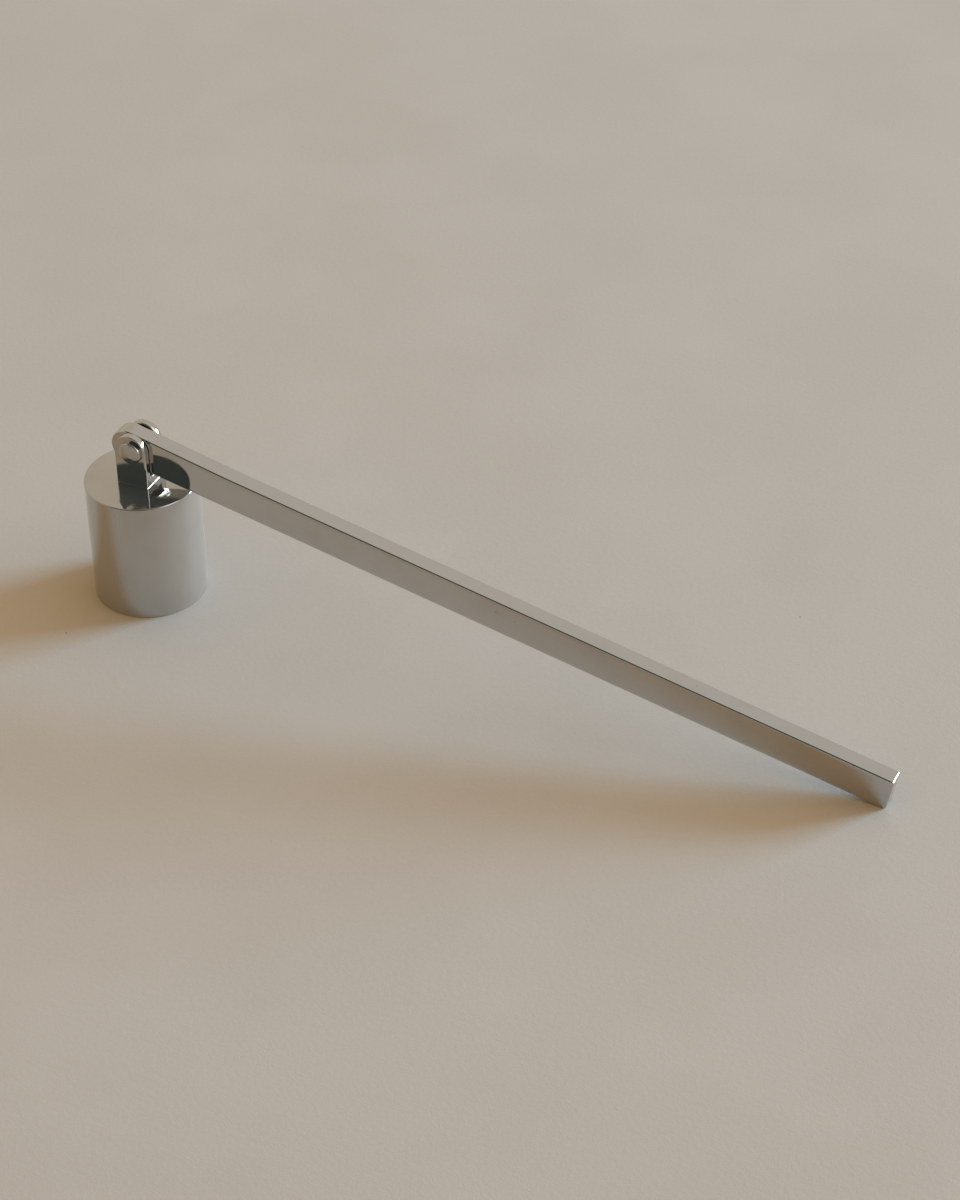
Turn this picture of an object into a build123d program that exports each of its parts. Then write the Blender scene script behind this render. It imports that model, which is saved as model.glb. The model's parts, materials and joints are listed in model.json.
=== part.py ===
from build123d import *
from math import acos, asin, atan2, degrees, hypot
import os

# A candle snuffer: a plain round cup that goes over the flame, a clevis screwed to the middle of its top,
# and a flat bar handle that swings between the clevis's two ears on a rivet.
# Millimetres, +Z up. The origin is the centre of the cup's mouth and the handle points along +X.
# The cup stands on its rim at Z = 0, and the far end of the handle lies on the same surface.

# Cup
cup_diameter = 25.0
cup_height = 29.4
cup_wall = 1.0
cup_top_thickness = 1.2
cup_top_edge_radius = 0.4
cup_rim_bevel = 0.25
cup_inner_corner_bevel = 2.0

# Handle: one straight flat bar with a rounded and slightly deeper end, the eye, where the rivet goes through
handle_length = 183.1
handle_depth = 7.8
handle_thickness = 3.96
handle_edge_radius = 0.4
handle_end_radius = 0.6
eye_swell = 0.54
eye_flare_length = 22.0
eye_flare_radius = 120.0

# Place of the rivet in the eye, measured from the centre of the eye's round
pivot_inset = 1.35
pivot_rise = 0.74

# Rivet, with a formed dome on both ends that rises from a short upright edge
rivet_diameter = 3.2
rivet_head_diameter = 5.9
rivet_head_height = 1.05
rivet_head_edge = 0.3

# Clevis: a block with a slot milled down through it, which leaves two round-topped ears on a thin floor
ear_diameter = 7.6
ear_thickness = 1.6
ear_edge_radius = 0.5
clevis_floor_thickness = 2.1
slot_edge_bevel = 0.15

# Screw that holds the clevis, put in from inside the cup
screw_diameter = 3.0
screw_head_diameter = 5.5
screw_head_height = 2.0
screw_head_round = 1.2
screw_recess_width = 2.7
screw_recess_slot = 0.6
screw_recess_depth = 1.1
screw_tip_setback = 0.3
screw_tip_chamfer = 0.3

# Clearances
side_play = 0.15
running_clearance = 0.06
rivet_hole_clearance = 0.03
thread_clearance = 0.02
screw_hole_clearance = 0.2
eye_floor_clearance = 0.94

# Every cut runs this far past the face that it starts from
cut_overrun = 1.0

# Directions, in degrees
upright = 90
straight_down = 270

# Heights and widths that follow from the sizes above
cup_radius = cup_diameter / 2
cup_bore_radius = cup_radius - cup_wall
cup_ceiling = cup_height - cup_top_thickness
ear_radius = ear_diameter / 2
rivet_radius = rivet_diameter / 2
rivet_head_radius = rivet_head_diameter / 2
screw_radius = screw_diameter / 2
screw_head_radius = screw_head_diameter / 2
slot_width = handle_thickness + 2 * side_play
clevis_width = slot_width + 2 * ear_thickness
clevis_floor = cup_height + clevis_floor_thickness

# The eye has to pass over the clevis floor as the handle swings, so its reach sets the height of the rivet
eye_radius = (handle_depth + eye_swell) / 2
eye_reach = hypot(pivot_inset, pivot_rise) + eye_radius
pivot_height = clevis_floor + eye_reach + eye_floor_clearance
ear_top = pivot_height + ear_radius

# Handle outline, measured from the rivet along and across the bar
eye_centre = (-pivot_inset, -pivot_rise)
underside = -pivot_rise - eye_radius
topside = underside + handle_depth
far_end = handle_length - pivot_inset - eye_radius

# Tilt at which the rounded lower corner of the far end touches the surface that the cup stands on
corner_along = far_end - handle_end_radius
corner_below = -underside - handle_end_radius
corner_drop = pivot_height - handle_end_radius
corner_reach = hypot(corner_along, corner_below)
tilt = degrees(asin(corner_drop / corner_reach) - atan2(corner_below, corner_along))


# Cup: turned with a flat top, a crisp outer edge and a bevelled inside corner, and drilled for the screw
with BuildPart() as cup:
    with BuildSketch(Plane.XZ):
        Rectangle(cup_radius, cup_height, align=(Align.MIN, Align.MIN))
        Rectangle(cup_bore_radius, cup_ceiling, align=(Align.MIN, Align.MIN), mode=Mode.SUBTRACT)
        Rectangle(
            screw_radius + screw_hole_clearance,
            cup_height,
            align=(Align.MIN, Align.MIN),
            mode=Mode.SUBTRACT,
        )
    revolve(axis=Axis.Z)
    mouth, ceiling, top = cup.faces().filter_by(Axis.Z).sort_by(Axis.Z)
    fillet(top.outer_wire().edges(), cup_top_edge_radius)
    chamfer(ceiling.outer_wire().edges(), cup_inner_corner_bevel)
    chamfer(mouth.outer_wire().edges(), cup_rim_bevel)


# Clevis: the ears' outline is one profile, rounded along both outer faces before the slot is milled
with BuildPart() as clevis:
    with BuildSketch(Plane.XZ):
        with Locations((0, cup_height)):
            Rectangle(ear_diameter, pivot_height - cup_height, align=(Align.CENTER, Align.MIN))
        with Locations((0, pivot_height)):
            Circle(ear_radius)
    extrude(amount=clevis_width / 2, both=True)
    outer_edges = clevis.faces().filter_by(Axis.Y).edges()
    fillet(outer_edges.filter_by(lambda edge: edge.center().Z > cup_height), ear_edge_radius)

    with Locations((0, 0, clevis_floor)):
        Box(
            ear_diameter + cut_overrun,
            slot_width,
            ear_top + cut_overrun - clevis_floor,
            align=(Align.CENTER, Align.CENTER, Align.MIN),
            mode=Mode.SUBTRACT,
        )
    slot_sides = clevis.faces().filter_by(Axis.Y).sort_by(Axis.Y)[1:-1]
    slot_edges = slot_sides.edges().filter_by(lambda edge: edge.center().Z > clevis_floor)
    slot_end_edges = clevis.faces().filter_by(Axis.Z).sort_by(Axis.Z)[-1].edges().filter_by(Axis.Y)
    chamfer(slot_edges + slot_end_edges, slot_edge_bevel)

    with Locations(Location((0, 0, pivot_height), (upright, 0, 0))):
        Cylinder(rivet_radius + rivet_hole_clearance, clevis_width + cut_overrun, mode=Mode.SUBTRACT)
    with Locations((0, 0, cup_height - cut_overrun)):
        Cylinder(
            screw_radius + thread_clearance,
            clevis_floor_thickness + 2 * cut_overrun,
            align=(Align.CENTER, Align.CENTER, Align.MIN),
            mode=Mode.SUBTRACT,
        )


# Clevis screw: a pan head with a cross recess under the cup's top, and its tip just below the clevis floor
screw_length = clevis_floor - screw_tip_setback - cup_ceiling
with BuildPart() as clevis_screw:
    with Locations((0, 0, cup_ceiling)):
        Cylinder(screw_head_radius, screw_head_height, align=(Align.CENTER, Align.CENTER, Align.MAX))
    crown = clevis_screw.faces().sort_by(Axis.Z)[0]
    fillet(crown.edges(), screw_head_round)
    with Locations((0, 0, cup_ceiling)):
        Cylinder(screw_radius, screw_length, align=(Align.CENTER, Align.CENTER, Align.MIN))
    tip = clevis_screw.faces().sort_by(Axis.Z)[-1]
    chamfer(tip.edges(), screw_tip_chamfer)
    with BuildSketch(Plane.XY.offset(cup_ceiling - screw_head_height)):
        Rectangle(screw_recess_width, screw_recess_slot)
        Rectangle(screw_recess_slot, screw_recess_width)
    extrude(amount=screw_recess_depth, mode=Mode.SUBTRACT)


# Pivot rivet: a shank through both ears and the handle, with a low dome against each ear
head_seat = clevis_width / 2
dome_top = head_seat + rivet_head_height
edge_top = head_seat + rivet_head_edge
with BuildPart() as pivot_rivet:
    with BuildSketch(Plane.XY):
        with BuildLine():
            dome = TangentArc((0, dome_top), (rivet_head_radius, edge_top), tangent=(1, 0))
            Polyline(dome @ 1, (rivet_head_radius, head_seat), (0, head_seat), dome @ 0)
        make_face()
    revolve(axis=Axis.Y)
    mirror(about=Plane.XZ)
    with Locations(Location((0, 0, 0), (upright, 0, 0))):
        Cylinder(rivet_radius, clevis_width)

rivet_in_place = Location((0, 0, pivot_height)) * pivot_rivet.part


# Handle: the bar's side outline with its rounded eye, whose top runs down to the bar in a long shallow flare
flare_along = eye_flare_length + pivot_inset
flare_rise = topside + pivot_rise
flare_turn = acos(eye_radius / hypot(flare_along, flare_rise))
eye_start = degrees(atan2(flare_rise, flare_along) + flare_turn)
with BuildPart() as handle:
    with BuildSketch(Plane.XZ) as bar_outline:
        with BuildLine():
            eye = CenterArc(eye_centre, eye_radius, eye_start, straight_down - eye_start)
            Polyline(
                eye @ 1,
                (far_end, underside),
                (far_end, topside),
                (eye_flare_length, topside),
                eye @ 0,
            )
        make_face()
        far_corners = bar_outline.vertices().sort_by(Axis.X)[-2:]
        fillet(far_corners, handle_end_radius)
        flare_corner = bar_outline.vertices().sort_by_distance((eye_flare_length, 0, topside))[0]
        fillet(flare_corner, eye_flare_radius)
    extrude(amount=handle_thickness / 2, both=True)
    fillet(handle.faces().filter_by(Axis.Y).edges(), handle_edge_radius)
    with Locations(Location((0, 0, 0), (upright, 0, 0))):
        Cylinder(rivet_radius + running_clearance, handle_thickness + cut_overrun, mode=Mode.SUBTRACT)

handle_at_rest = Location((0, 0, pivot_height), (0, tilt, 0)) * handle.part


nodes = {
    "cup": cup.part,
    "clevis": clevis.part,
    "clevis_screw": clevis_screw.part,
    "pivot_rivet": rivet_in_place,
    "handle": handle_at_rest,
}
os.makedirs("parts", exist_ok=True)
for name, shape in nodes.items():
    export_step(shape, f"parts/{name}.step")
print(f"rivet {pivot_height:.3f} mm above the table, handle tilted {tilt:.3f} degrees down")
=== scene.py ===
import json
import math
import bmesh
import bpy
from mathutils import Matrix, Vector, noise
from mathutils.geometry import tessellate_polygon

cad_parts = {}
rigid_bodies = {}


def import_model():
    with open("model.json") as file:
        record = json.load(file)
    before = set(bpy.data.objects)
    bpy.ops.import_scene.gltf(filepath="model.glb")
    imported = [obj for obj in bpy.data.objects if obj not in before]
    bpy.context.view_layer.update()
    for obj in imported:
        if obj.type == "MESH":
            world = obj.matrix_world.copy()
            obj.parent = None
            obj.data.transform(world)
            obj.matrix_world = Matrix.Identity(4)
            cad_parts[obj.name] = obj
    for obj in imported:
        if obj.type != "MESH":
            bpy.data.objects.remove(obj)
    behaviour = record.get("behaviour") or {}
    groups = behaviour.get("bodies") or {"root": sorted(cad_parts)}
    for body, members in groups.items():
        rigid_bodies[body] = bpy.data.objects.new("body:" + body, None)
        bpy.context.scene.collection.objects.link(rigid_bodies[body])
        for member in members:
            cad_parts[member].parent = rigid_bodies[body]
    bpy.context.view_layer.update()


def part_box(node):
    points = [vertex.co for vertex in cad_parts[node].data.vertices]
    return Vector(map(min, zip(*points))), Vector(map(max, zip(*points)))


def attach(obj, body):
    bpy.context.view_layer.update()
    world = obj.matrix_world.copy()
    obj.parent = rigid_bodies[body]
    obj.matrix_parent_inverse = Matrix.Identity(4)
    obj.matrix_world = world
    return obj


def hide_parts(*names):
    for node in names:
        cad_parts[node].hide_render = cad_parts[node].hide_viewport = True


for start_up_object in list(bpy.data.objects):
    bpy.data.objects.remove(start_up_object)
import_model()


# Camera: the snuffer lies on a table and is seen from above, with its far end nearest to the viewer.
# The long lens and the steep view keep the cup's sides nearly parallel.
camera_place = Vector((0.31172, -0.46175, 0.42344))
camera_turn = math.radians(26.494)
camera_down = math.radians(37.874)
camera_roll = math.radians(-0.892)
lens_mm = 93.75

camera_data = bpy.data.cameras.new("camera")
camera_data.lens = lens_mm
camera_data.clip_start = 0.01
camera_data.clip_end = 20
camera = bpy.data.objects.new("camera", camera_data)
bpy.context.scene.collection.objects.link(camera)
looking = Matrix.Rotation(camera_turn, 4, "Z") @ Matrix.Rotation(math.pi / 2 - camera_down, 4, "X")
camera.matrix_world = Matrix.Translation(camera_place) @ looking @ Matrix.Rotation(camera_roll, 4, "Z")
bpy.context.scene.camera = camera


# Table top: a sheet of matt, pale, warm grey paper with a fine uneven tooth, soft clouding and two crumbs.
# It isn't part of the snuffer.
mm = 0.001
table_half_size = 2500 * mm
table_colour = (0.462, 0.418, 0.362, 1)
table_shade = (0.440, 0.396, 0.340, 1)
cloud_scale = 22
fibre_scale = 900
fibre_contrast = 0.4
paper_detail = 3.0
shade_spread = 0.25
tooth_scale = 2200
tooth_depth = 0.02 * mm
paper_roughness = 0.55
paper_gloss = 0.12
crumb_colour = (0.05, 0.04, 0.03, 1)
crumb_radius = 0.22 * mm
crumb_core = 0.5 * crumb_radius
crumb_places = [(-7.9 * mm, -23.3 * mm, 0), (134.9 * mm, 49.7 * mm, 0)]
noise_middle = 0.5
corner_signs = [(-1, -1), (1, -1), (1, 1), (-1, 1)]


class Signal:
    """An output of a shader node. Sums and products of signals add Math nodes."""

    def __init__(self, tree, socket):
        self.tree = tree
        self.socket = socket

    def maths(self, operation, *values):
        return self.tree.add("Math", {"operation": operation}, dict(enumerate(values)))

    def __add__(self, other):
        return self.maths("ADD", self, other)

    def __sub__(self, other):
        return self.maths("SUBTRACT", self, other)

    def __rsub__(self, other):
        return self.maths("SUBTRACT", other, self)

    def __mul__(self, other):
        return self.maths("MULTIPLY", self, other)

    __radd__ = __add__
    __rmul__ = __mul__

    def between(self, low, high):
        """0 at low, 1 at high, and smooth from one to the other."""
        inputs = {"Value": self, "From Min": low, "From Max": high}
        return self.tree.add("MapRange", {"interpolation_type": "SMOOTHSTEP"}, inputs)


class ShaderTree:
    """A node tree that is written as expressions."""

    def __init__(self, owner):
        owner.use_nodes = True
        self.tree = owner.node_tree
        self.tree.nodes.clear()

    def add(self, kind, settings=None, inputs=None, output=None):
        """A node of a kind. Its settings come first, as they decide which of its sockets are in use."""
        node = self.tree.nodes.new("ShaderNode" + kind)
        for name, value in (settings or {}).items():
            setattr(node, name, value)
        in_use = [socket for socket in node.inputs if socket.enabled]
        for name, value in (inputs or {}).items():
            if isinstance(name, int):
                socket = node.inputs[name]
            else:
                socket = [one for one in in_use if one.name == name][0]
            if isinstance(value, Signal):
                self.tree.links.new(value.socket, socket)
            else:
                socket.default_value = value
        outputs = [socket for socket in node.outputs if socket.enabled and output in (None, socket.name)]
        return Signal(self, outputs[0]) if outputs else None

    def mix(self, share, first, second):
        """A blend of two colours."""
        return self.add("Mix", {"data_type": "RGBA"}, {"Factor": share, "A": first, "B": second})

    def place(self):
        return self.add("TexCoord", output="Object")

    def stretched(self, place, factors):
        """The place with each of its axes multiplied, so that a pattern on it gets longer or finer."""
        return self.add("VectorMath", {"operation": "MULTIPLY"}, {0: place, 1: factors})

    def noise(self, place, scale, detail=2.0):
        return self.add("TexNoise", {}, {"Vector": place, "Scale": scale, "Detail": detail}, output="Fac")

    def far_from(self, place, spot):
        return self.add("VectorMath", {"operation": "DISTANCE"}, {0: place, 1: spot}, output="Value")


table_material = bpy.data.materials.new("table_top")
paper = ShaderTree(table_material)
paper_place = paper.place()
clouds = paper.noise(paper_place, cloud_scale, paper_detail)
fibres = paper.noise(paper_place, fibre_scale, paper_detail)
tooth = paper.noise(paper_place, tooth_scale)
paper_shade = (clouds - noise_middle) + (fibres - noise_middle) * fibre_contrast
paper_colour = paper.mix(paper_shade.between(-shade_spread, shade_spread), table_shade, table_colour)
for crumb_place in crumb_places:
    is_crumb = 1 - paper.far_from(paper_place, crumb_place).between(crumb_core, crumb_radius)
    paper_colour = paper.mix(is_crumb, paper_colour, crumb_colour)
paper_bump = paper.add("Bump", {}, {"Height": tooth + fibres, "Distance": tooth_depth, "Strength": 1.0})
paper_finish = {"Roughness": paper_roughness, "Specular IOR Level": paper_gloss, "Normal": paper_bump}
paper_face = paper.add("BsdfPrincipled", {}, {"Base Color": paper_colour, **paper_finish})
paper.add("OutputMaterial", {}, {"Surface": paper_face})

table_mesh = bpy.data.meshes.new("table_top")
table_corners = [(x * table_half_size, y * table_half_size, 0) for x, y in corner_signs]
table_mesh.from_pydata(table_corners, [], [(0, 1, 2, 3)])
table_mesh.materials.append(table_material)
table_top = bpy.data.objects.new("table_top", table_mesh)
bpy.context.scene.collection.objects.link(table_top)


# Light: a room with warm pale walls that is dark behind the viewer, and one low window of cool light far to
# the right. Polished metal shows all of it.
wall_colour = (0.615, 0.535, 0.43, 1)
high_wall_colour = (0.635, 0.60, 0.545, 1)
high_wall_towards = Vector((0.25, 0.62, 0.74)).normalized()
high_wall_edge = (0.75, 0.97)
bright_wall_colour = (1.5, 1.4, 1.26, 1)
bright_wall_towards = Vector((0.863, 0.076, 0.50)).normalized()
bright_wall_edge = (0.76, 0.94)
dark_side_colour = (0.055, 0.072, 0.068, 1)
dark_side_towards = Vector((-0.05, -0.80, 0.60)).normalized()
dark_side_edge = (0.45, 0.68)
near_corner_towards = Vector((-0.853, -0.492, 0.174)).normalized()
near_corner_edge = (0.858, 0.870)
fill_colour = (0.75, 0.525, 0.285, 1)
fill_near_window = (0.95, 0.95, 0.95, 1)
fill_window_towards = Vector((0.683, 0.683, 0.259))
fill_window_edge = (0.2, 0.9)
background_colour = (0.62, 0.58, 0.52, 1)
window_turn = math.radians(45.5)
window_distance = 4.0
window_light_colour = (0.365, 0.67, 1.0)
window_light_watts = 445
window_light_height = math.radians(11)
window_light_size = (1.5, 1.25)
window_shine_colour = (0.79, 0.89, 1.0)
window_shine_watts = 165
window_shine_height = math.radians(12.5)
window_shine_size = (1.5, 1.4)

world = bpy.data.worlds.new("room")
bpy.context.scene.world = world
room = ShaderTree(world)
towards = room.add("TexCoord", output="Generated")


def facing(direction):
    return room.add("VectorMath", {"operation": "DOT_PRODUCT"}, {0: towards, 1: direction}, output="Value")


walls = room.mix(facing(high_wall_towards).between(*high_wall_edge), wall_colour, high_wall_colour)
walls = room.mix(facing(bright_wall_towards).between(*bright_wall_edge), walls, bright_wall_colour)
walls = room.mix(facing(dark_side_towards).between(*dark_side_edge), walls, dark_side_colour)
walls = room.mix(facing(near_corner_towards).between(*near_corner_edge), walls, wall_colour)
is_glossy = room.add("LightPath", output="Is Glossy Ray")
is_camera = room.add("LightPath", output="Is Camera Ray")
fill = room.mix(facing(fill_window_towards).between(*fill_window_edge), fill_colour, fill_near_window)
seen = room.mix(is_camera, fill, background_colour)
room_light = room.add("Background", {}, {"Color": room.mix(is_glossy, seen, walls), "Strength": 1.0})
room.add("OutputWorld", {}, {"Surface": room_light})
world.cycles.sampling_method = "NONE"


def window(name, colour, watts, height, size):
    """A lamp in the window's place."""
    flat = math.cos(height)
    window_towards = Vector((math.cos(window_turn) * flat, math.sin(window_turn) * flat, math.sin(height)))
    pane = bpy.data.lights.new(name, "AREA")
    pane.shape = "RECTANGLE"
    pane.size, pane.size_y = size
    pane.color = colour
    pane.energy = watts
    lamp = bpy.data.objects.new(name, pane)
    bpy.context.scene.collection.objects.link(lamp)
    lamp.location = window_towards * window_distance
    lamp.rotation_euler = window_towards.to_track_quat("Z", "Y").to_euler()
    lamp.visible_camera = False
    return lamp


# The window lights the table with a cooler light than the polished metal shows of it.
light_lamp = window(
    "window_light", window_light_colour, window_light_watts, window_light_height, window_light_size
)
light_lamp.visible_glossy = False
shine_lamp = window(
    "window_shine", window_shine_colour, window_shine_watts, window_shine_height, window_shine_size
)
shine_lamp.visible_diffuse = False


# Cup: turned from steel with a flat top and a crisp outer edge, polished, and plated with chrome. It keeps
# faint turning marks round its side, a light haze from handling, and a few pinholes in the plating.
chrome_colour = (0.57, 0.56, 0.54, 1)
chrome_stain = (0.52, 0.505, 0.475, 1)
pinhole_colour = (0.10, 0.09, 0.08, 1)
stain_band = (0.45, 0.75)
stain_strength = 0.6
haze_scale = 130
haze_detail = 4.0
haze_band = (0.4, 0.7)
smudge_scale = 420
smudge_detail = 3.0
smudge_band = (0.55, 0.75)
smudge_strength = 0.6
pinhole_scale = 260
pinhole_radius = 0.05
pinhole_core = 0.5 * pinhole_radius
pinhole_darkness = 0.85
pinhole_roughness = 0.4
mark_core_share = 0.4
polish_detail = 3.0
polish_depth = 0.0009 * mm
veil_roughness = 0.6


def plated(name, place_factors, gloss, haze, waves, wave_factors, pinhole_share=0.10, marks=(), veil=None):
    """Chrome plating: a gloss and haze in roughness, polishing marks that run along the low factors, waves,
    pinholes, single dark marks with a place and a radius, and a veil of fine scratches over the gloss, whose
    share is worked out from the place."""
    material = bpy.data.materials.new(name)
    skin = ShaderTree(material)
    place = skin.place()
    cloud = skin.noise(place, haze_scale, haze_detail)
    smudge = skin.noise(place, smudge_scale, smudge_detail)
    marks_along = skin.noise(skin.stretched(place, place_factors), scale=1.0, detail=polish_detail)
    wavy = skin.noise(skin.stretched(place, wave_factors), scale=1.0, detail=1.0)

    cells = skin.add("TexVoronoi", {}, {"Vector": place, "Scale": pinhole_scale}, output="Distance")
    cell_draw = skin.add("TexVoronoi", {}, {"Vector": place, "Scale": pinhole_scale}, output="Color")
    cell_value = skin.add("SeparateColor", {}, {"Color": cell_draw}, output="Red")
    in_pinhole = 1 - cells.between(pinhole_core, pinhole_radius)
    pinholes = in_pinhole * cell_value.maths("LESS_THAN", cell_value, pinhole_share)
    for spot, radius in marks:
        mark = 1 - skin.far_from(place, spot).between(mark_core_share * radius, radius)
        pinholes = pinholes.maths("MAXIMUM", pinholes, mark)

    colour = skin.mix(cloud.between(*stain_band) * stain_strength, chrome_colour, chrome_stain)
    colour = skin.mix(pinholes * pinhole_darkness, colour, pinhole_colour)
    roughness = gloss + haze * cloud.between(*haze_band)
    roughness += haze * smudge.between(*smudge_band) * smudge_strength + pinholes * pinhole_roughness
    fine = skin.add("Bump", {}, {"Height": marks_along, "Distance": polish_depth, "Strength": 1.0})
    surface = skin.add("Bump", {}, {"Height": wavy, "Distance": waves, "Strength": 1.0, "Normal": fine})
    face = skin.add(
        "BsdfPrincipled",
        {},
        {"Base Color": colour, "Metallic": 1.0, "Roughness": roughness, "Normal": surface},
    )
    if veil is not None:
        scratched = skin.add(
            "BsdfPrincipled",
            {},
            {"Base Color": colour, "Metallic": 1.0, "Roughness": veil_roughness, "Normal": surface},
        )
        face = skin.add("MixShader", {}, {0: veil(skin, place), 1: face, 2: scratched})
    skin.add("OutputMaterial", {}, {"Surface": face})
    return material


def link_piece(name, mesh):
    piece = bpy.data.objects.new(name, mesh)
    bpy.context.scene.collection.objects.link(piece)
    return piece


def skin_rings(name, rings, closed):
    """A mesh over rings of points with equal steps. A ring of one point closes an end, and a closed set of
    rings joins its last ring to its first."""
    mesh = bpy.data.meshes.new(name)
    points = [point for ring in rings for point in ring]
    starts = [sum(len(ring) for ring in rings[:count]) for count in range(len(rings))]
    steps = max(len(ring) for ring in rings)
    faces = []
    for count in range(len(rings) if closed else len(rings) - 1):
        after = (count + 1) % len(rings)
        for step in range(steps):
            corners = [starts[count] + (step + shift) % len(rings[count]) for shift in (0, 1)]
            corners += [starts[after] + (step + shift) % len(rings[after]) for shift in (1, 0)]
            faces.append(tuple(dict.fromkeys(corners)))
    mesh.from_pydata(points, [], faces)
    skin = bmesh.new()
    skin.from_mesh(mesh)
    bmesh.ops.recalc_face_normals(skin, faces=skin.faces)
    skin.to_mesh(mesh)
    skin.free()
    mesh.polygons.foreach_set("use_smooth", [True] * len(mesh.polygons))
    return mesh


cup_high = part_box("cup")[1]
cup_radius = cup_high[0]
cup_height = cup_high[2]
cup_wall = 1.0 * mm
cup_top_thickness = 1.2 * mm
bore_radius = cup_radius - cup_wall
ceiling = cup_height - cup_top_thickness
screw_way_radius = 1.7 * mm
top_edge_round = 0.24 * mm
flat_top_radius = 9.0 * mm
top_fall_turn = math.radians(4.5)
rim_round = 0.22 * mm
inner_cove = 2.0 * mm
screw_way_round = 0.1 * mm
cup_steps = 256
cup_round_steps = 8
top_fall_steps = 12


def quarter_round(centre_radius, centre_height, reach, from_turn, sweep=90):
    """Profile points and normals of a round, anticlockwise from a direction in degrees."""
    points = []
    for step in range(cup_round_steps + 1):
        turn = math.radians(from_turn + sweep * step / cup_round_steps)
        out, up = math.cos(turn), math.sin(turn)
        points.append((centre_radius + reach * out, centre_height + reach * up, out, up))
    return points


def buffed_top():
    """Profile of the cup's top from its edge inwards. Buffing has made it fall away toward the edge."""
    fall_width = cup_radius - top_edge_round - flat_top_radius
    edge_drop = fall_width * top_fall_turn / 2
    edge_height = cup_height - edge_drop - top_edge_round
    points = quarter_round(
        cup_radius - top_edge_round, edge_height, top_edge_round, 0, 90 - math.degrees(top_fall_turn)
    )
    for step in range(1, top_fall_steps + 1):
        share = 1 - step / top_fall_steps
        turn = top_fall_turn * share
        radius = flat_top_radius + fall_width * share
        points.append((radius, cup_height - edge_drop * share ** 2, math.sin(turn), math.cos(turn)))
    return points


def inner_round(centre_radius, centre_height, reach):
    """Profile points and normals of the cove in the cup's inner corner, from the ceiling to the bore."""
    points = []
    for step in range(cup_round_steps + 1):
        turn = math.radians(90 - 90 * step / cup_round_steps)
        out, up = math.cos(turn), math.sin(turn)
        points.append((centre_radius + reach * out, centre_height + reach * up, -out, -up))
    return points


screw_way_edge = screw_way_radius + screw_way_round
cup_profile = quarter_round(cup_radius - rim_round, rim_round, rim_round, -90)
cup_profile += buffed_top()
cup_profile += quarter_round(screw_way_edge, cup_height - screw_way_round, screw_way_round, 90)
cup_profile += quarter_round(screw_way_edge, ceiling + screw_way_round, screw_way_round, 180)
cup_profile += inner_round(bore_radius - inner_cove, ceiling - inner_cove, inner_cove)
cup_profile += quarter_round(bore_radius + rim_round, rim_round, rim_round, 180)
cup_rings, cup_normals = [], []
for radius, height, out, up in cup_profile:
    turns = [2 * math.pi * step / cup_steps for step in range(cup_steps)]
    cup_rings.append([(radius * math.cos(turn), radius * math.sin(turn), height) for turn in turns])
    cup_normals += [(out * math.cos(turn), out * math.sin(turn), up) for turn in turns]
cup_mesh = skin_rings("turned_cup", cup_rings, closed=True)
cup_mesh.normals_split_custom_set_from_vertices(cup_normals)
cup = link_piece("turned_cup", cup_mesh)
cup_marks = [((-0.2 * mm, -12.5 * mm, 10.4 * mm), 0.16 * mm)]
least_veil = 0.05
more_veil_on_side = 0.39
more_veil_on_top = 0.12
veil_across = (0.895, 0.446, 0)
veil_from, veil_to = -10 * mm, 0
veil_top_from, veil_top_to = 29.1 * mm, 29.2 * mm


def wiped(skin, place):
    """Share of fine scratches. Wiping has left most of them on one half of the cup's side."""
    across = skin.add("VectorMath", {"operation": "DOT_PRODUCT"}, {0: place, 1: veil_across}, output="Value")
    height = skin.add("SeparateXYZ", {}, {"Vector": place}, output="Z")
    on_top = height.between(veil_top_from, veil_top_to)
    on_side = (1 - on_top) * across.between(veil_from, veil_to)
    return least_veil + on_side * more_veil_on_side + on_top * more_veil_on_top


cup.data.materials.append(plated(
    "cup_chrome",
    place_factors=(60, 60, 2600),
    gloss=0.035,
    haze=0.02,
    waves=0.02 * mm,
    wave_factors=(330, 330, 12),
    marks=cup_marks,
    veil=wiped,
))
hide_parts("cup")
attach(cup, "cup")


# Clevis: milled from a short steel bar, with a slot down through it for the handle, tumbled until its outer
# edges are round, and plated with the cup's chrome. It stands on the cup and the screw pulls it down.
clevis_low, clevis_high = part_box("clevis")
ear_radius = clevis_high[0]
clevis_half_width = clevis_high[1]
clevis_foot = clevis_low[2]
pivot_height = clevis_high[2] - ear_radius
ear_thickness = 1.6 * mm
clevis_floor_thickness = 2.1 * mm
clevis_floor = clevis_foot + clevis_floor_thickness
slot_half_width = clevis_half_width - ear_thickness
rivet_hole_radius = 1.63 * mm
screw_hole_radius = 1.52 * mm
ear_middle = clevis_half_width - ear_thickness / 2
near_rim_crown = math.radians(7)
far_rim_crown = math.radians(26)
ear_edge_round = 0.5 * mm
crisp_edge_round = 0.16 * mm
slot_edge_round = 0.22 * mm
floor_end_round = 0.18 * mm
foot_edge_round = 0.14 * mm
soft_edge_until = 5
soft_edge_fade = 40
least_agreement = 0.6
sharp_turn = math.radians(57)
flush = 0.01 * mm
rivet_hole_reach = 5 * mm
screw_hole_overrun = 1 * mm
edge_steps = 6
ear_steps = 48
hole_steps = 48


def settle(piece):
    """The piece's mesh as its modifiers leave it."""
    settled = bpy.data.meshes.new_from_object(piece.evaluated_get(bpy.context.evaluated_depsgraph_get()))
    piece.modifiers.clear()
    piece.data = settled
    return settled


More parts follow.
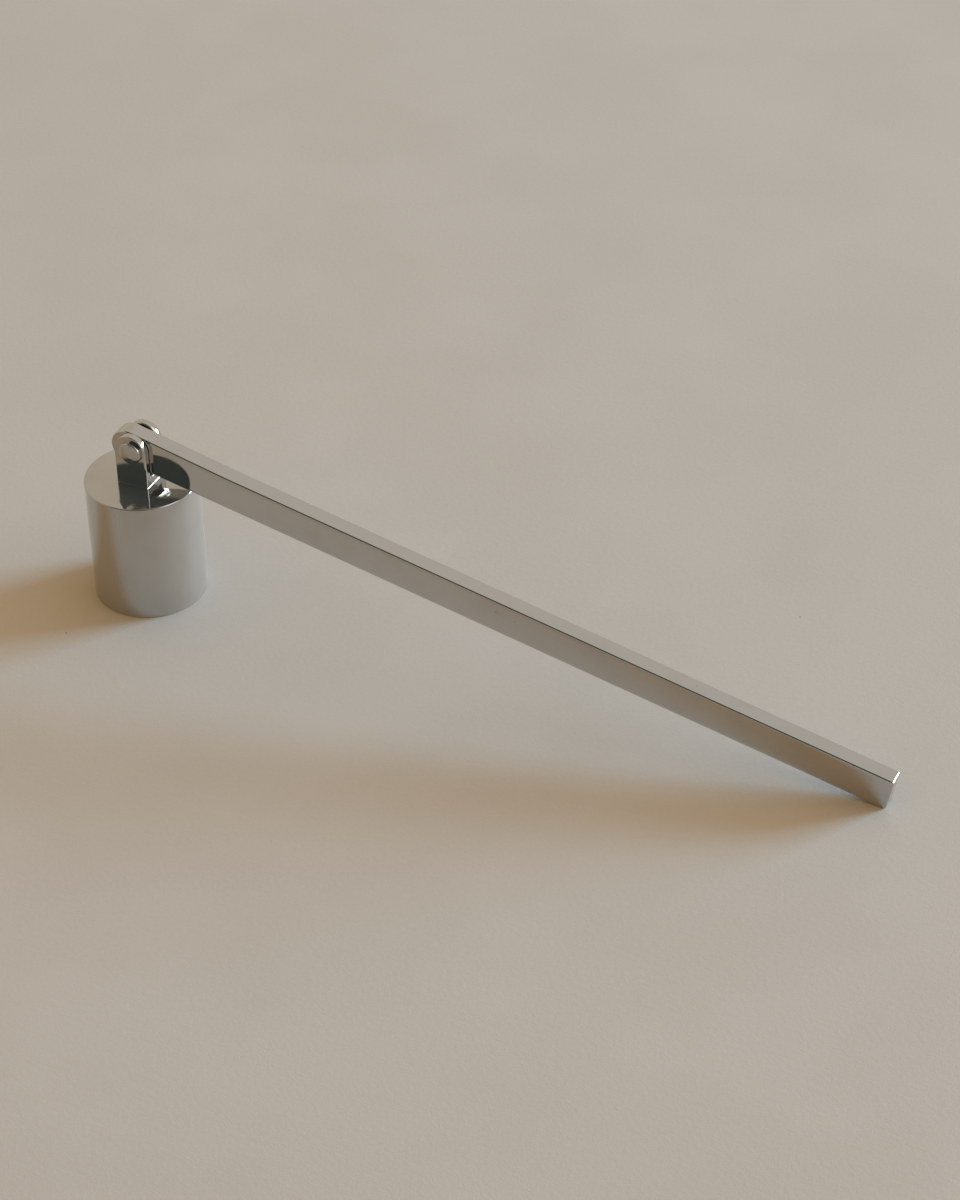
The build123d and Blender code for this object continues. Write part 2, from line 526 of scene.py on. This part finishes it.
def rod(name, radius, start, end, steps):
    """A closed round rod from one point to another, used for cutting holes."""
    start, end = Vector(start), Vector(end)
    along = (end - start).normalized()
    side = along.orthogonal().normalized()
    other = along.cross(side)
    ring = [2 * math.pi * step / steps for step in range(steps)]
    rim = [radius * (math.cos(turn) * side + math.sin(turn) * other) for turn in ring]
    points = [place + out for place in (start, end) for out in rim]
    faces = [(i, (i + 1) % steps, (i + 1) % steps + steps, i + steps) for i in range(steps)]
    faces += [tuple(reversed(range(steps))), tuple(range(steps, 2 * steps))]
    mesh = bpy.data.meshes.new(name)
    mesh.from_pydata(points, [], faces)
    return link_piece(name, mesh)


def cut(piece, cutter):
    """Takes the cutter's space out of the piece."""
    hole = piece.modifiers.new("hole", "BOOLEAN")
    hole.operation = "DIFFERENCE"
    hole.solver = "EXACT"
    hole.object = cutter
    settle(piece)
    bpy.data.objects.remove(cutter)


def true_shading(mesh, directions):
    """Gives each point the direction of the ground surface there, so that it reflects as that does. A point
    without one, or on an edge that turns too far, is shaded by its faces."""
    mesh.polygons.foreach_set("use_smooth", [True] * len(mesh.polygons))
    shading = [None] * len(mesh.loops)
    for polygon in mesh.polygons:
        for corner in polygon.loop_indices:
            vertex = mesh.vertices[mesh.loops[corner].vertex_index]
            normal = directions[vertex.index] or vertex.normal
            shading[corner] = normal if normal.dot(polygon.normal) > least_agreement else polygon.normal
    mesh.normals_split_custom_set(shading)


clevis_outline = [(-ear_radius, clevis_foot), (-ear_radius, clevis_floor)]
for step in range(ear_steps + 1):
    turn = math.pi * (1 - step / ear_steps)
    clevis_outline.append((ear_radius * math.cos(turn), pivot_height + ear_radius * math.sin(turn)))
clevis_outline += [(ear_radius, clevis_floor), (ear_radius, clevis_foot)]
last = len(clevis_outline) - 1
clevis_mesh = bmesh.new()
near_outer = [clevis_mesh.verts.new((x, -clevis_half_width, z)) for x, z in clevis_outline]
far_outer = [clevis_mesh.verts.new((x, clevis_half_width, z)) for x, z in clevis_outline]
near_inner = [clevis_mesh.verts.new((x, -slot_half_width, z)) for x, z in clevis_outline[1:-1]]
far_inner = [clevis_mesh.verts.new((x, slot_half_width, z)) for x, z in clevis_outline[1:-1]]
clevis_mesh.faces.new(near_outer)
clevis_mesh.faces.new(far_outer)
clevis_mesh.faces.new(near_inner)
clevis_mesh.faces.new(far_inner)
for step in range(len(near_inner) - 1):
    for outer, inner in [(near_outer, near_inner), (far_outer, far_inner)]:
        clevis_mesh.faces.new((outer[step + 1], outer[step + 2], inner[step + 1], inner[step]))
clevis_mesh.faces.new((near_inner[0], near_inner[-1], far_inner[-1], far_inner[0]))
clevis_mesh.faces.new((near_outer[0], near_outer[last], far_outer[last], far_outer[0]))
for end, inner_end in [(0, 0), (last, -1)]:
    floor_end = 1 if end == 0 else last - 1
    clevis_mesh.faces.new((
        near_outer[end],
        far_outer[end],
        far_outer[floor_end],
        far_inner[inner_end],
        near_inner[inner_end],
        near_outer[floor_end],
    ))
bmesh.ops.recalc_face_normals(clevis_mesh, faces=clevis_mesh.faces)
edge_rounds = clevis_mesh.edges.layers.float.new("bevel_weight_edge")
outer_corners = set(near_outer) | set(far_outer)


def ear_softness(place):
    """Share of the full edge round: full on the near ear's handle side, and crisp elsewhere."""
    if place.y > 0:
        return crisp_edge_round / ear_edge_round
    turn = math.degrees(math.atan2(place.z - pivot_height, place.x))
    if place.x > 0 and place.z > pivot_height:
        fading = min(max((turn - soft_edge_until) / soft_edge_fade, 0), 1)
    else:
        fading = float(place.x < 0)
    return 1 - fading * (1 - crisp_edge_round / ear_edge_round)


inner_corners = set(near_inner) | set(far_inner)
for edge in clevis_mesh.edges:
    first, second = edge.verts
    same_side = abs(first.co.y - second.co.y) < flush
    in_foot = max(first.co.z, second.co.z) < clevis_foot + flush
    across_end = abs(first.co.x - second.co.x) < flush and not same_side
    is_sharp = edge.calc_face_angle(0) > sharp_turn and edge.is_convex
    if in_foot:
        edge[edge_rounds] = foot_edge_round / ear_edge_round
    elif same_side and {first, second} <= outer_corners:
        edge[edge_rounds] = ear_softness((first.co + second.co) / 2)
    elif same_side and {first, second} <= inner_corners and is_sharp:
        edge[edge_rounds] = slot_edge_round / ear_edge_round
    elif across_end and {first, second} <= inner_corners:
        edge[edge_rounds] = floor_end_round / ear_edge_round
clevis_data = bpy.data.meshes.new("clevis_body")
clevis_mesh.to_mesh(clevis_data)
clevis_mesh.free()
clevis = link_piece("clevis_body", clevis_data)
rounding = clevis.modifiers.new("rounded edges", "BEVEL")
rounding.limit_method = "WEIGHT"
rounding.width = ear_edge_round
rounding.segments = edge_steps
rounding.use_clamp_overlap = False
settle(clevis)
rivet_hole_ends = [(0, -rivet_hole_reach, pivot_height), (0, rivet_hole_reach, pivot_height)]
cut(clevis, rod("rivet_hole", rivet_hole_radius, *rivet_hole_ends, hole_steps))
screw_hole_ends = [(0, 0, clevis_foot - screw_hole_overrun), (0, 0, clevis_floor + screw_hole_overrun)]
cut(clevis, rod("screw_hole", screw_hole_radius, *screw_hole_ends, hole_steps))


def clevis_normal(place):
    """The direction of the clevis's flat faces, and of its ears' round rims, which tumbling has crowned."""
    close = 0.002 * mm
    across = abs(place.y)
    from_pivot = Vector((place.x, 0, place.z - pivot_height))
    if abs(across - clevis_half_width) < close:
        return Vector((0, math.copysign(1, place.y), 0))
    if abs(across - slot_half_width) < close and place.z > clevis_floor + close:
        return Vector((0, -math.copysign(1, place.y), 0))
    if place.z > pivot_height and abs(from_pivot.length - ear_radius) < flush:
        off_middle = (place.y - math.copysign(ear_middle, place.y)) / (ear_thickness / 2)
        crown = off_middle * (far_rim_crown if place.y > 0 else near_rim_crown)
        return from_pivot.normalized() * math.cos(crown) + Vector((0, math.sin(crown), 0))
    if place.z <= pivot_height and abs(abs(place.x) - ear_radius) < close:
        return Vector((math.copysign(1, place.x), 0, 0))
    if abs(place.z - clevis_floor) < close:
        return Vector((0, 0, 1))
    if abs(place.z - clevis_foot) < close:
        return Vector((0, 0, -1))
    return None


true_shading(clevis.data, [clevis_normal(vertex.co) for vertex in clevis.data.vertices])
clevis_chrome = plated(
    "clevis_chrome",
    place_factors=(900, 900, 900),
    gloss=0.05,
    haze=0.03,
    waves=0.006 * mm,
    wave_factors=(260, 260, 260),
    pinhole_share=0.2,
)
clevis.data.materials.append(clevis_chrome)
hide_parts("clevis")
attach(clevis, "cup")

# The plating has built up in the corner between the clevis and the cup.
foot_fillet = 0.2 * mm
fillet_overlap = 0.05 * mm
fillet_sharp_turn = math.radians(40)
fillet_steps = 6
fillet_profile = [(-fillet_overlap, 0.0), (-fillet_overlap, foot_fillet)]
for step in range(fillet_steps + 1):
    turn = math.radians(90 * step / fillet_steps)
    fillet_profile.append((foot_fillet * (1 - math.cos(turn)), foot_fillet * (1 - math.sin(turn))))
fillet_rings = []
for out, up in fillet_profile:
    half_along, half_across = ear_radius + out, clevis_half_width + out
    fillet_rings.append([
        (along * half_along, across * half_across, clevis_foot + up) for along, across in corner_signs
    ])
fillet = link_piece("clevis_foot_fillet", skin_rings("clevis_foot_fillet", fillet_rings, closed=True))
fillet.data.set_sharp_from_angle(angle=fillet_sharp_turn)
fillet.data.materials.append(clevis_chrome)
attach(fillet, "cup")


# Clevis screw: a zinc-plated M3 pan-head steel screw with a cross recess, put in from inside the cup and
# driven up into the clevis's tapped floor.
screw_low, screw_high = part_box("clevis_screw")
screw_head_radius = screw_high[0]
screw_head_round = 1.2 * mm
screw_head_base = screw_low[2]
screw_head_ring = 1.0 * mm
screw_tip = screw_high[2]
screw_tip_radius = 0.9 * mm
screw_core_radius = 1.2 * mm
screw_crest_radius = 1.5 * mm
screw_pitch = 0.5 * mm
screw_tip_taper = 0.3 * mm
recess_depth = 1.1 * mm
recess_point = 0.3 * mm
recess_mouth = (1.35 * mm, 0.31 * mm)
recess_bottom = (0.75 * mm, 0.20 * mm)
recess_overrun = 0.2 * mm
recess_flare = 1.1
recess_corners = 12
screw_sharp_turn = math.radians(30)
screw_steps = 64
thread_steps = 32


def cross(wing, slot, height):
    """The twelve corners of a cross, from the length of its wings and half the width of its slots."""
    quarter = [(wing, -slot), (wing, slot), (slot, slot)]
    corners = []
    for out, aside in [(1, 0), (0, 1), (-1, 0), (0, -1)]:
        corners += [(x * out - y * aside, x * aside + y * out, height) for x, y in quarter]
    return corners


screw_profile = [(0, screw_head_base), (screw_head_ring, screw_head_base)]
for step in range(cup_round_steps + 1):
    turn = math.radians(-90 + 90 * step / cup_round_steps)
    out = screw_head_radius - screw_head_round + screw_head_round * math.cos(turn)
    screw_profile.append((out, screw_head_base + screw_head_round + screw_head_round * math.sin(turn)))
screw_profile += [(screw_head_radius, ceiling), (screw_core_radius, ceiling)]
screw_profile.append((screw_core_radius, screw_tip - screw_tip_taper))
screw_profile += [(screw_tip_radius, screw_tip), (0, screw_tip)]
screw_rings = []
for radius, height in screw_profile:
    turns = [2 * math.pi * step / screw_steps for step in range(screw_steps if radius else 1)]
    screw_rings.append([(radius * math.cos(turn), radius * math.sin(turn), height) for turn in turns])
screw = link_piece("pan_head_screw", skin_rings("pan_head_screw", screw_rings, closed=False))

recess_data = bpy.data.meshes.new("recess")
mouth_points = cross(*recess_mouth, screw_head_base)
bottom_points = cross(*recess_bottom, screw_head_base + recess_depth)
outer_points = [(x * recess_flare, y * recess_flare, z - recess_overrun) for x, y, z in mouth_points]
recess_points = mouth_points + bottom_points + outer_points
recess_points.append((0, 0, screw_head_base + recess_depth + recess_point))
bottom_start, outer_start, point_number = recess_corners, 2 * recess_corners, 3 * recess_corners
recess_faces = []
for corner in range(recess_corners):
    after = (corner + 1) % recess_corners
    recess_faces.append((corner, after, bottom_start + after, bottom_start + corner))
    recess_faces.append((outer_start + corner, outer_start + after, after, corner))
    recess_faces.append((bottom_start + corner, bottom_start + after, point_number))
recess_faces.append(tuple(reversed(range(outer_start, point_number))))
recess_data.from_pydata(recess_points, [], recess_faces)
cut(screw, link_piece("recess", recess_data))

screw_zinc = plated(
    "screw_zinc",
    place_factors=(700, 700, 700),
    gloss=0.22,
    haze=0.12,
    waves=0.004 * mm,
    wave_factors=(500, 500, 500),
)
thread_tree = bpy.data.node_groups.new("screw_thread", "GeometryNodeTree")
thread_tree.interface.new_socket("Geometry", in_out="OUTPUT", socket_type="NodeSocketGeometry")
thread_tree.interface.new_socket("Geometry", in_out="INPUT", socket_type="NodeSocketGeometry")
thread_length = screw_tip - screw_tip_taper - ceiling - screw_pitch
thread_sizes = {
    "Core Radius": screw_core_radius,
    "Ridge": screw_crest_radius - screw_core_radius,
    "Turns": thread_length / screw_pitch,
    "Height": thread_length,
    "Start": ceiling + screw_pitch / 2,
}
thread_inputs = {
    name: thread_tree.interface.new_socket(name, in_out="INPUT", socket_type="NodeSocketFloat").identifier
    for name in thread_sizes
}
thread_inputs["Material"] = thread_tree.interface.new_socket(
    "Material", in_out="INPUT", socket_type="NodeSocketMaterial"
).identifier


def thread_node(kind, settings=None, **inputs):
    """A node of the thread's tree, with its sockets' values or the outputs that feed them."""
    node = thread_tree.nodes.new(kind)
    for name, value in (settings or {}).items():
        setattr(node, name, value)
    for name, value in inputs.items():
        socket = node.inputs[name.replace("_", " ")]
        if isinstance(value, bpy.types.NodeSocket):
            thread_tree.links.new(value, socket)
        else:
            socket.default_value = value
    return node


given = thread_tree.nodes.new("NodeGroupInput").outputs
helix = thread_node(
    "GeometryNodeCurveSpiral",
    Resolution=thread_steps,
    Rotations=given["Turns"],
    Start_Radius=given["Core Radius"],
    End_Radius=given["Core Radius"],
    Height=given["Height"],
)
upright_helix = thread_node("GeometryNodeSetCurveNormal", {"mode": "Z_UP"}, Curve=helix.outputs["Curve"])
double_ridge = thread_node("ShaderNodeMath", {"operation": "MULTIPLY"})
thread_tree.links.new(given["Ridge"], double_ridge.inputs[0])
double_ridge.inputs[1].default_value = 2
ridge = thread_node(
    "GeometryNodeCurvePrimitiveQuadrilateral",
    {"mode": "RECTANGLE"},
    Width=double_ridge.outputs[0],
    Height=given["Ridge"],
)
swept = thread_node(
    "GeometryNodeCurveToMesh",
    Curve=upright_helix.outputs["Curve"],
    Profile_Curve=ridge.outputs["Curve"],
    Fill_Caps=True,
)
lift = thread_node("ShaderNodeCombineXYZ", Z=given["Start"])
lifted = thread_node(
    "GeometryNodeTransform", Geometry=swept.outputs["Mesh"], Translation=lift.outputs["Vector"]
)
joined = thread_node("GeometryNodeJoinGeometry")
thread_tree.links.new(lifted.outputs["Geometry"], joined.inputs["Geometry"])
thread_tree.links.new(given["Geometry"], joined.inputs["Geometry"])
realized = thread_node("GeometryNodeRealizeInstances", Geometry=joined.outputs["Geometry"])
finished = thread_node(
    "GeometryNodeSetMaterial", Geometry=realized.outputs["Geometry"], Material=given["Material"]
)
thread_result = thread_tree.nodes.new("NodeGroupOutput")
thread_tree.links.new(finished.outputs["Geometry"], thread_result.inputs["Geometry"])

thread = screw.modifiers.new("thread", "NODES")
thread.node_group = thread_tree
for name, size in thread_sizes.items():
    thread[thread_inputs[name]] = size
thread[thread_inputs["Material"]] = screw_zinc
settle(screw)
screw.data.polygons.foreach_set("use_smooth", [True] * len(screw.data.polygons))
screw.data.set_sharp_from_angle(angle=screw_sharp_turn)
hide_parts("clevis_screw")
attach(screw, "cup")


# Pivot rivet: a soft steel pin through both ears and the eye, with a low head formed on each end by peening,
# which leaves small dents. It is plated with the rest.
rivet_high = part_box("pivot_rivet")[1]
rivet_half_length = rivet_high[1]
rivet_head_radius = 2.62 * mm
rivet_shank_radius = 1.6 * mm
near_head_offset = 0.38 * mm
offset_from_radius = 1.7 * mm
head_wall = 0.6 * mm
head_shoulder = 0.25 * mm
head_undercut = 0.04 * mm
near_head_height = 1.24 * mm
far_head_height = rivet_half_length - clevis_half_width
shoulder_turn = math.radians(18)
dent_depth = 0.016 * mm
dent_scale = 1900
dent_seed_place = 40 * mm
dent_level = 0.4
fine_dent_share = 0.5
fine_dent_scale = 2.1
shoulder_dents_lost = 0.8
near_head_dents = 1.0
far_head_dents = 0.3
head_sharp_turn = math.radians(60)
rivet_steps = 160
dome_steps = 34
shoulder_steps = 8


def head_profile(head_height):
    """Radius, height above the ear and share of dents, from the rivet's axis out to its shank."""
    shoulder_centre = rivet_head_radius - head_shoulder
    dome_edge = shoulder_centre + head_shoulder * math.sin(shoulder_turn)
    dome_edge_height = head_wall + head_shoulder * math.cos(shoulder_turn)
    profile = []
    for step in range(dome_steps):
        out = step / dome_steps
        rise = (head_height - dome_edge_height) * (1 - out ** 2)
        profile.append((dome_edge * out, dome_edge_height + rise, 1.0))
    for step in range(shoulder_steps + 1):
        turn = shoulder_turn + (math.pi / 2 - shoulder_turn) * step / shoulder_steps
        radius = shoulder_centre + head_shoulder * math.sin(turn)
        dents = 1 - shoulder_dents_lost * step / shoulder_steps
        profile.append((radius, head_wall + head_shoulder * math.cos(turn), dents))
    profile.append((rivet_head_radius - head_undercut, 0, 0))
    profile.append((rivet_shank_radius, 0, 0))
    return profile


def rivet_half(side, head_height, dent_share):
    """One half of the rivet, ring by ring from its end to its middle. The near side is -1, and there all
    but the middle of the head lies off the shank."""
    rings = []
    for radius, height, dents in head_profile(head_height):
        aside = near_head_offset if side < 0 and radius > offset_from_radius else 0
        ring = []
        for step in range(1 if radius == 0 else rivet_steps):
            turn = 2 * math.pi * step / rivet_steps
            across, up = radius * math.cos(turn), radius * math.sin(turn)
            spot = Vector((across, dent_seed_place * side, up)) * dent_scale
            hollow = noise.noise(spot) + fine_dent_share * noise.noise(spot * fine_dent_scale) - dent_level
            dent = dents * dent_share * dent_depth * min(hollow, 0.0)
            ring.append((across + aside, side * (clevis_half_width + height + dent), pivot_height + up))
        rings.append(ring)
    return rings


rivet_rings = rivet_half(-1, near_head_height, near_head_dents)
rivet_rings += reversed(rivet_half(1, far_head_height, far_head_dents))
rivet_data = skin_rings("peened_rivet", rivet_rings, closed=False)
rivet_data.set_sharp_from_angle(angle=head_sharp_turn)
rivet = link_piece("peened_rivet", rivet_data)
rivet.data.materials.append(plated(
    "rivet_chrome",
    place_factors=(1500, 1500, 1500),
    gloss=0.10,
    haze=0.05,
    waves=0.012 * mm,
    wave_factors=(2600, 2600, 2600),
    pinhole_share=0.4,
))
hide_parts("pivot_rivet")
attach(rivet, "cup")


# Handle: one straight bar of flat steel with a rounded eye at one end, ground and polished along its length,
# its edges eased, and plated with chrome. It hangs on the rivet between the ears.
handle_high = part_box("handle")[1]
bar_half_thickness = handle_high[1]
bar_depth = 7.8 * mm
far_end = 177.58 * mm
far_corner_radius = 0.6 * mm
eye_radius = 4.17 * mm
eye_centre = (-1.35 * mm, -0.74 * mm)
eye_hole_radius = 1.66 * mm
flare_length = 22.0 * mm
flare_radius = 120.0 * mm
flare_turn = math.radians(88.67)
bar_edge_round = 0.3 * mm
side_crown_width = 0.6 * mm
side_crown_turn = math.radians(8)
eye_steps = 72
corner_steps = 8
run_step = 6 * mm
crown_steps = 3
same_place = 0.001 * mm
underside = eye_centre[1] - eye_radius
topside = underside + bar_depth

# The bar hangs from the rivet and its lower far corner rests on the table.
corner_along = far_end - far_corner_radius
corner_below = -underside - far_corner_radius
corner_drop = pivot_height - far_corner_radius
corner_reach = math.hypot(corner_along, corner_below)
tilt = math.asin(corner_drop / corner_reach) - math.atan2(corner_below, corner_along)


def bend(centre, reach, from_turn, to_turn, steps, square=None):
    """Spots along a round of the bar's outline: its centre, reach and outward turn. A hollow round has a
    negative reach, and a corner has the diagonal on which its sides meet."""
    shares = [step / steps for step in range(steps + 1)]
    return [(centre, reach, from_turn + (to_turn - from_turn) * share, square) for share in shares]


def run(start, end, turn):
    """Spots between the ends of a straight run of the outline."""
    start, end = Vector(start), Vector(end)
    count = math.ceil((end - start).length / run_step)
    return [(start.lerp(end, step / count), 0, turn, None) for step in range(1, count)]


def inset(spot, depth):
    """A spot of the outline moved into the bar."""
    centre, reach, turn, square = spot
    if square and depth > reach:
        return Vector(centre) + (reach - depth) * Vector(square)
    return Vector(centre) + (reach - depth) * Vector((math.cos(turn), math.sin(turn)))


up_turn, down_turn, full_turn = math.pi / 2, 1.5 * math.pi, 2 * math.pi
flare_tangent = flare_radius * math.tan((up_turn - flare_turn) / 2)
flare_centre = (flare_length + flare_tangent, topside + flare_radius)
lower_centre = (corner_along, underside + far_corner_radius)
upper_centre = (corner_along, topside - far_corner_radius)
eye_bend = bend(eye_centre, eye_radius, flare_turn, down_turn, eye_steps)
lower_corner = bend(lower_centre, far_corner_radius, down_turn, full_turn, corner_steps, (1, -1))
upper_corner = bend(upper_centre, far_corner_radius, 0, up_turn, corner_steps, (1, 1))
flare_bend = bend(flare_centre, -flare_radius, up_turn, flare_turn, corner_steps)
outline = eye_bend + run(inset(eye_bend[-1], 0), inset(lower_corner[0], 0), down_turn) + lower_corner
outline += upper_corner + run(inset(upper_corner[-1], 0), inset(flare_bend[0], 0), up_turn) + flare_bend
outline += run(inset(flare_bend[-1], 0), inset(eye_bend[0], 0), flare_turn)

crown_drop = side_crown_width * side_crown_turn / 2
round_centre = bar_half_thickness - crown_drop - bar_edge_round * math.cos(side_crown_turn)
round_depth = bar_edge_round * (1 - math.sin(side_crown_turn))
half_section = []
for step in range(crown_steps + 1):
    share = step / crown_steps
    crown_depth = round_depth + side_crown_width * (1 - share)
    across = bar_half_thickness - crown_drop * share ** 2
    half_section.append((crown_depth, across, side_crown_turn * share))
for step in range(1, edge_steps + 1):
    turn = side_crown_turn + (math.pi / 2 - side_crown_turn) * step / edge_steps
    depth = bar_edge_round * (1 - math.sin(turn))
    half_section.append((depth, round_centre + bar_edge_round * math.cos(turn), turn))
section = [(depth, -across, turn, -1) for depth, across, turn in half_section]
section += [(depth, across, turn, 1) for depth, across, turn in reversed(half_section)]

bar_points, bar_directions, bar_numbers = [], [], {}


def bar_point(along, across, thick, direction):
    """The number of a mesh point. Points that fall together are one."""
    place = (
        along * math.cos(tilt) + across * math.sin(tilt),
        thick,
        pivot_height - along * math.sin(tilt) + across * math.cos(tilt),
    )
    key = tuple(round(value / same_place) for value in place)
    if key not in bar_numbers:
        bar_numbers[key] = len(bar_points)
        bar_points.append(place)
        bar_directions.append(Matrix.Rotation(tilt, 3, "Y") @ Vector(direction))
    return bar_numbers[key]


bar_rings = []
for depth, thick, turn, side in section:
    ring = []
    for spot in outline:
        along, across = inset(spot, depth)
        out = math.sin(turn)
        direction = (out * math.cos(spot[2]), side * math.cos(turn), out * math.sin(spot[2]))
        ring.append(bar_point(along, across, thick, direction))
    bar_rings.append(ring)
bar_faces = []
for ring, after in zip(bar_rings, bar_rings[1:]):
    for step in range(len(outline)):
        nxt = (step + 1) % len(outline)
        corners = tuple(dict.fromkeys((ring[step], ring[nxt], after[nxt], after[step])))
        if len(corners) > 2:
            bar_faces.append(corners)
hole_turns = [2 * math.pi * step / hole_steps for step in range(hole_steps)]
hole_rings = []
for ring, side in [(bar_rings[0], -1), (bar_rings[-1], 1)]:
    hole = []
    for turn in hole_turns:
        along, across = eye_hole_radius * math.cos(turn), eye_hole_radius * math.sin(turn)
        hole.append(bar_point(along, across, side * bar_half_thickness, (0, side, 0)))
    hole_rings.append(hole)
    border = list(dict.fromkeys(ring))
    loops = [[Vector(bar_points[number]) for number in loop] for loop in (border, hole)]
    numbers = border + hole
    bar_faces += [tuple(numbers[corner] for corner in corners) for corners in tessellate_polygon(loops)]
for step in range(hole_steps):
    nxt = (step + 1) % hole_steps
    bar_faces.append((hole_rings[0][step], hole_rings[1][step], hole_rings[1][nxt], hole_rings[0][nxt]))
bar_data = bpy.data.meshes.new("ground_bar")
bar_data.from_pydata(bar_points, [], bar_faces)
bar_skin = bmesh.new()
bar_skin.from_mesh(bar_data)
bmesh.ops.recalc_face_normals(bar_skin, faces=bar_skin.faces)
bar_skin.to_mesh(bar_data)
bar_skin.free()
true_shading(bar_data, bar_directions)
bar = link_piece("ground_bar", bar_data)
handle_marks = [
    ((166.1 * mm, -1.98 * mm, 9.0 * mm), 0.22 * mm),
    ((86.2 * mm, -1.98 * mm, 21.9 * mm), 0.16 * mm),
    ((90.4 * mm, -1.98 * mm, 20.7 * mm), 0.13 * mm),
]
bar.data.materials.append(plated(
    "handle_chrome",
    place_factors=(90, 2200, 2200),
    gloss=0.045,
    haze=0.03,
    waves=0.010 * mm,
    wave_factors=(45, 160, 160),
    marks=handle_marks,
))
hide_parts("handle")
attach(bar, "handle")


# Colours are shown as they are, without a film curve.
bpy.context.scene.view_settings.view_transform = "Standard"
